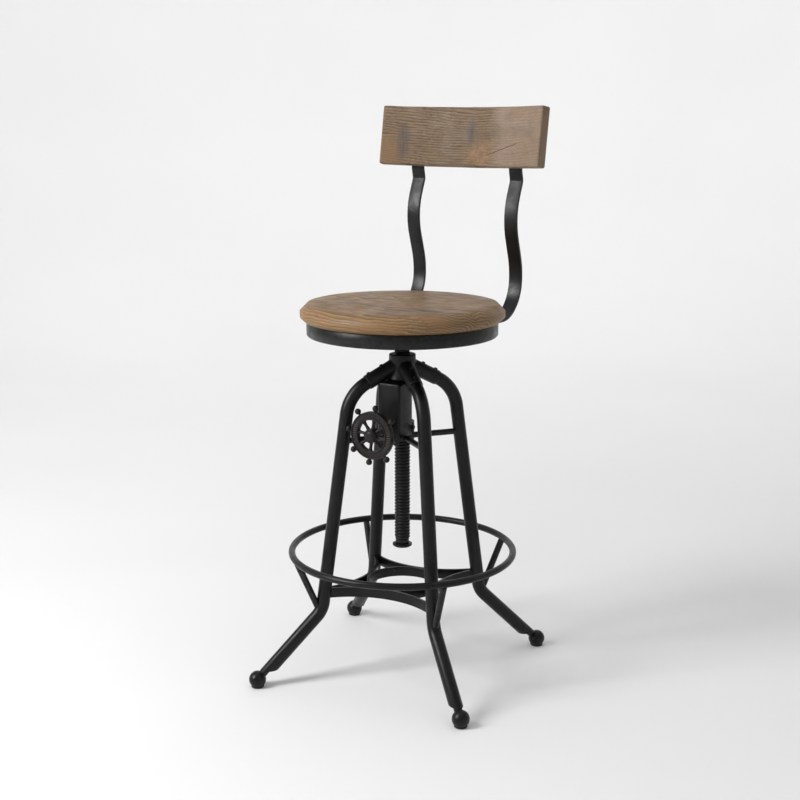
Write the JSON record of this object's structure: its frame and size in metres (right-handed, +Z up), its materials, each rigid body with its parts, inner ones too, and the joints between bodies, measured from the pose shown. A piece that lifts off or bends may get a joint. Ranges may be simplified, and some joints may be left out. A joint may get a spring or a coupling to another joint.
{
  "type": "bar stool",
  "caption": "Height-adjustable bar stool with a swivelling round wooden seat, curved backrest, crank-driven lift screw, splayed tube legs and a footrest ring.",
  "frame": {"origin": "on the floor, at the centre of the stool's bounding box; the lift screw's axis is 2.74 mm behind the sitter's side of it, at y = -0.00274", "axes": "+Z up, -Y the way the sitter faces, +Y towards the backrest, +X to the right of someone who looks along +Y at the front"},
  "size_m": [0.4738, 0.4788, 1.0243],
  "materials": {
    "black_coat": "satin black powder coat with soft highlights",
    "black_cast": "black coated casting, slightly rough",
    "black_screw": "oiled black steel, worn on its edges",
    "steel": "plain machined steel, hidden inside",
    "rubber": "dark matt glide",
    "seat_wood": "weathered mid-brown, brushed and waxed",
    "back_wood": "weathered mid-brown with saw marks and grey stains"
  },
  "bodies": {
    "base": {"hub_casting": "black_cast", "footrest_ring": "black_coat", "brace_hoop": "black_coat", "gear_bracket": "black_coat", "nut_housing": "black_cast", "shaft_bush": "black_cast", "guide_screw": "steel", "housing_bolt_left": "black_screw", "housing_bolt_right": "black_screw", "leg_front_right": "black_coat", "foot_ball_front_right": "black_coat", "foot_glide_front_right": "rubber", "socket_screw_inner_front_right": "black_coat", "socket_screw_outer_front_right": "black_coat", "ring_strut_front_right": "black_coat", "stay_rod_front_right": "black_coat", "leg_rear_right": "black_coat", "foot_ball_rear_right": "black_coat", "foot_glide_rear_right": "rubber", "socket_screw_inner_rear_right": "black_coat", "socket_screw_outer_rear_right": "black_coat", "ring_strut_rear_right": "black_coat", "stay_rod_rear_right": "black_coat", "leg_rear_left": "black_coat", "foot_ball_rear_left": "black_coat", "foot_glide_rear_left": "rubber", "socket_screw_inner_rear_left": "black_coat", "socket_screw_outer_rear_left": "black_coat", "ring_strut_rear_left": "black_coat", "stay_rod_rear_left": "black_coat", "leg_front_left": "black_coat", "foot_ball_front_left": "black_coat", "foot_glide_front_left": "rubber", "socket_screw_inner_front_left": "black_coat", "socket_screw_outer_front_left": "black_coat", "ring_strut_front_left": "black_coat", "stay_rod_front_left": "black_coat", "brace_strap_right": "black_coat", "brace_strap_rear": "black_coat", "brace_strap_left": "black_coat", "brace_strap_front": "black_coat"},
    "crank": {"handwheel": "black_cast", "handwheel_cap": "black_cast", "wheel_shaft": "black_screw", "pinion": "steel"},
    "nut": {"gear_nut": "steel"},
    "lift": {"lift_screw": "black_screw", "screw_stop": "black_screw", "thrust_collar": "black_cast", "retaining_ring": "steel"},
    "seat": {"seat_boss": "black_cast", "seat_pan": "black_coat", "seat_wood": "seat_wood", "upright_left": "black_coat", "upright_right": "black_coat", "backrest": "back_wood", "backrest_screw_left_lower": "black_screw", "backrest_screw_left_upper": "black_screw", "backrest_screw_right_lower": "black_screw", "backrest_screw_right_upper": "black_screw"}
  },
  "joints": [
    {"name": "seat_lift", "type": "slide", "parent": "base", "child": "lift", "axis": [0, 0, 1], "range_m": [-0.015, 0.19]},
    {"name": "seat_swivel", "type": "hinge", "parent": "lift", "child": "seat", "pos_m": [0, -0.00294, 0.6243], "axis": [0, 0, 1], "continuous": true},
    {"name": "crank_turn", "type": "hinge", "parent": "base", "child": "crank", "pos_m": [0, -0.10194, 0.462], "axis": [0, 1, 0], "range_deg": [-1625, 20525]},
    {"name": "nut_turn", "type": "hinge", "parent": "base", "child": "nut", "pos_m": [0, -0.00294, 0.45], "axis": [0, 0, 1], "range_deg": [-11405, 905]}
  ],
  "couplings": [
    {"joint": "crank_turn", "follows": "seat_lift", "rad_per_m": 1885},
    {"joint": "nut_turn", "follows": "seat_lift", "rad_per_m": -1047.2}
  ]
}
